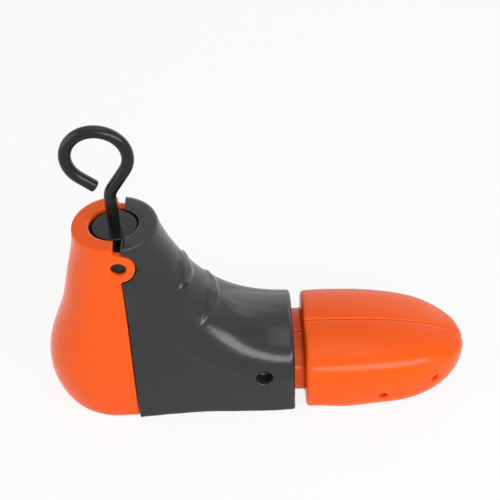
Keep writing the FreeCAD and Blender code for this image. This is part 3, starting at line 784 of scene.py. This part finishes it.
# Soft boxes, in m and W: name, place, width, height and power
SOFTBOXES = (
    ("softbox_front_right", (0.41, -0.66, 0.51), 1.0, 0.34, 7.4),
    ("softbox_left", (-0.95, -0.15, 0.4), 1.0, 0.9, 4.2),
    ("softbox_above", (0.0, 0.15, 1.1), 0.8, 0.8, 2.4),
    ("softbox_back", (0.3, 1.0, 0.4), 1.2, 0.8, 3.2),
)
SOFTBOX_AIM = (0, 0, 0.06)
SENSOR_WIDTH = 36.0


def seen_rays(tree):
    """1 for what the camera sees, straight or by reflection, and 0 for light that falls on the object."""
    path = add_node(tree, "ShaderNodeLightPath")
    near = add_node(tree, "ShaderNodeMath", {"operation": "MAXIMUM"},
                    {0: path.outputs["Is Camera Ray"], 1: path.outputs["Is Glossy Ray"]})
    return add_node(tree, "ShaderNodeMath", {"operation": "MAXIMUM"},
                    {0: near.outputs["Value"], 1: path.outputs["Is Transmission Ray"]}).outputs["Value"]


def add_floor(stage):
    """A paper floor that the camera sees as white, apart from the share that takes the shadow."""
    bpy.ops.object.select_all(action="DESELECT")
    bpy.ops.mesh.primitive_plane_add(size=FLOOR_SIZE, location=(0, 0, CAD_BOX[0].z - FLOOR_DROP))
    floor = new_piece("floor")
    made, tree = empty_material("white paper floor")
    paper = add_node(tree, "ShaderNodeBsdfDiffuse", {"Color": linear(PAPER)})
    glow = add_node(tree, "ShaderNodeEmission", {"Color": linear(WHITE), "Strength": SEEN_STRENGTH})
    share = add_node(tree, "ShaderNodeMath", {"operation": "MULTIPLY", 1: 1 - stage.shadow},
                     {0: seen_rays(tree)})
    mix = add_node(tree, "ShaderNodeMixShader", links={
        0: share.outputs["Value"], 1: paper.outputs["BSDF"], 2: glow.outputs["Emission"]})
    add_node(tree, "ShaderNodeOutputMaterial", links={"Surface": mix.outputs["Shader"]})
    floor.data.materials.append(made)


def add_lamp(name, place, width, height, power):
    """A soft box that points at the object."""
    bpy.ops.object.light_add(type="AREA", location=place)
    lamp = bpy.context.object
    lamp.name = name
    lamp.data.shape = "RECTANGLE"
    lamp.data.size = width
    lamp.data.size_y = height
    lamp.data.energy = power
    lamp.rotation_mode = "QUATERNION"
    lamp.rotation_quaternion = (Vector(SOFTBOX_AIM) - Vector(place)).to_track_quat("-Z", "Y")


def add_world(scene):
    """A world that is white to the camera and only dim to the object."""
    world = bpy.data.worlds.new("studio")
    scene.world = world
    world.use_nodes = True
    tree = world.node_tree
    tree.nodes.clear()
    sky = add_node(tree, "ShaderNodeBackground", {"Color": linear(WHITE), "Strength": SKY_STRENGTH})
    white = add_node(tree, "ShaderNodeBackground", {"Color": linear(WHITE), "Strength": SEEN_STRENGTH})
    mix = add_node(tree, "ShaderNodeMixShader", links={
        0: seen_rays(tree), 1: sky.outputs["Background"], 2: white.outputs["Background"]})
    add_node(tree, "ShaderNodeOutputWorld", links={"Surface": mix.outputs["Shader"]})


def add_camera(scene, stage):
    """The camera in front of the object's side, raised and rolled as the stage says."""
    back = Vector((0, -math.cos(stage.elevation), math.sin(stage.elevation)))
    bpy.ops.object.camera_add(location=Vector(stage.target) + back * stage.distance)
    camera = bpy.context.object
    camera.name = "camera"
    camera.rotation_mode = "ZYX"
    camera.rotation_euler = (math.pi / 2 - stage.elevation, 0, stage.roll)
    camera.data.lens = stage.lens
    camera.data.sensor_width = SENSOR_WIDTH
    scene.camera = camera


class STRETCHER_OT_stage(bpy.types.Operator):
    """Floor, lights, world and camera"""
    bl_idname = "stretcher.stage"
    bl_label = "Stage"

    def execute(self, context):
        stage = context.scene.stretcher_stage
        add_floor(stage)
        for softbox in SOFTBOXES:
            add_lamp(*softbox)
        add_world(context.scene)
        add_camera(context.scene, stage)
        context.scene.view_settings.view_transform = "Standard"
        return {"FINISHED"}


# Panel and registration
GROUPS = {
    "stretcher_sizes": StretcherSizes,
    "stretcher_colours": StretcherColours,
    "stretcher_stage": StretcherStage,
}
OPERATORS = (
    STRETCHER_OT_mouldings,
    STRETCHER_OT_crank,
    STRETCHER_OT_screws,
    STRETCHER_OT_finishes,
    STRETCHER_OT_stage,
)


class STRETCHER_PT_panel(bpy.types.Panel):
    """Pieces of the shoe stretcher"""
    bl_idname = "STRETCHER_PT_panel"
    bl_label = "Shoe stretcher"
    bl_space_type = "VIEW_3D"
    bl_region_type = "UI"
    bl_category = "Stretcher"

    def draw(self, context):
        for name, group in GROUPS.items():
            for key in group.__annotations__:
                self.layout.prop(getattr(context.scene, name), key)
        for operator in OPERATORS:
            self.layout.operator(operator.bl_idname)


CLASSES = (*GROUPS.values(), *OPERATORS, STRETCHER_PT_panel)


def register():
    """Registers the classes and hangs the property groups on the scene."""
    for made in CLASSES:
        bpy.utils.register_class(made)
    for name, group in GROUPS.items():
        setattr(bpy.types.Scene, name, bpy.props.PointerProperty(type=group))


def unregister():
    """Takes back what register did."""
    for name in GROUPS:
        delattr(bpy.types.Scene, name)
    for made in reversed(CLASSES):
        bpy.utils.unregister_class(made)


def main():
    """Builds all the pieces and the stage."""
    register()
    bpy.ops.stretcher.mouldings()
    bpy.ops.stretcher.crank()
    bpy.ops.stretcher.screws()
    bpy.ops.stretcher.finishes()
    bpy.ops.stretcher.stage()


if __name__ == "__main__":
    main()
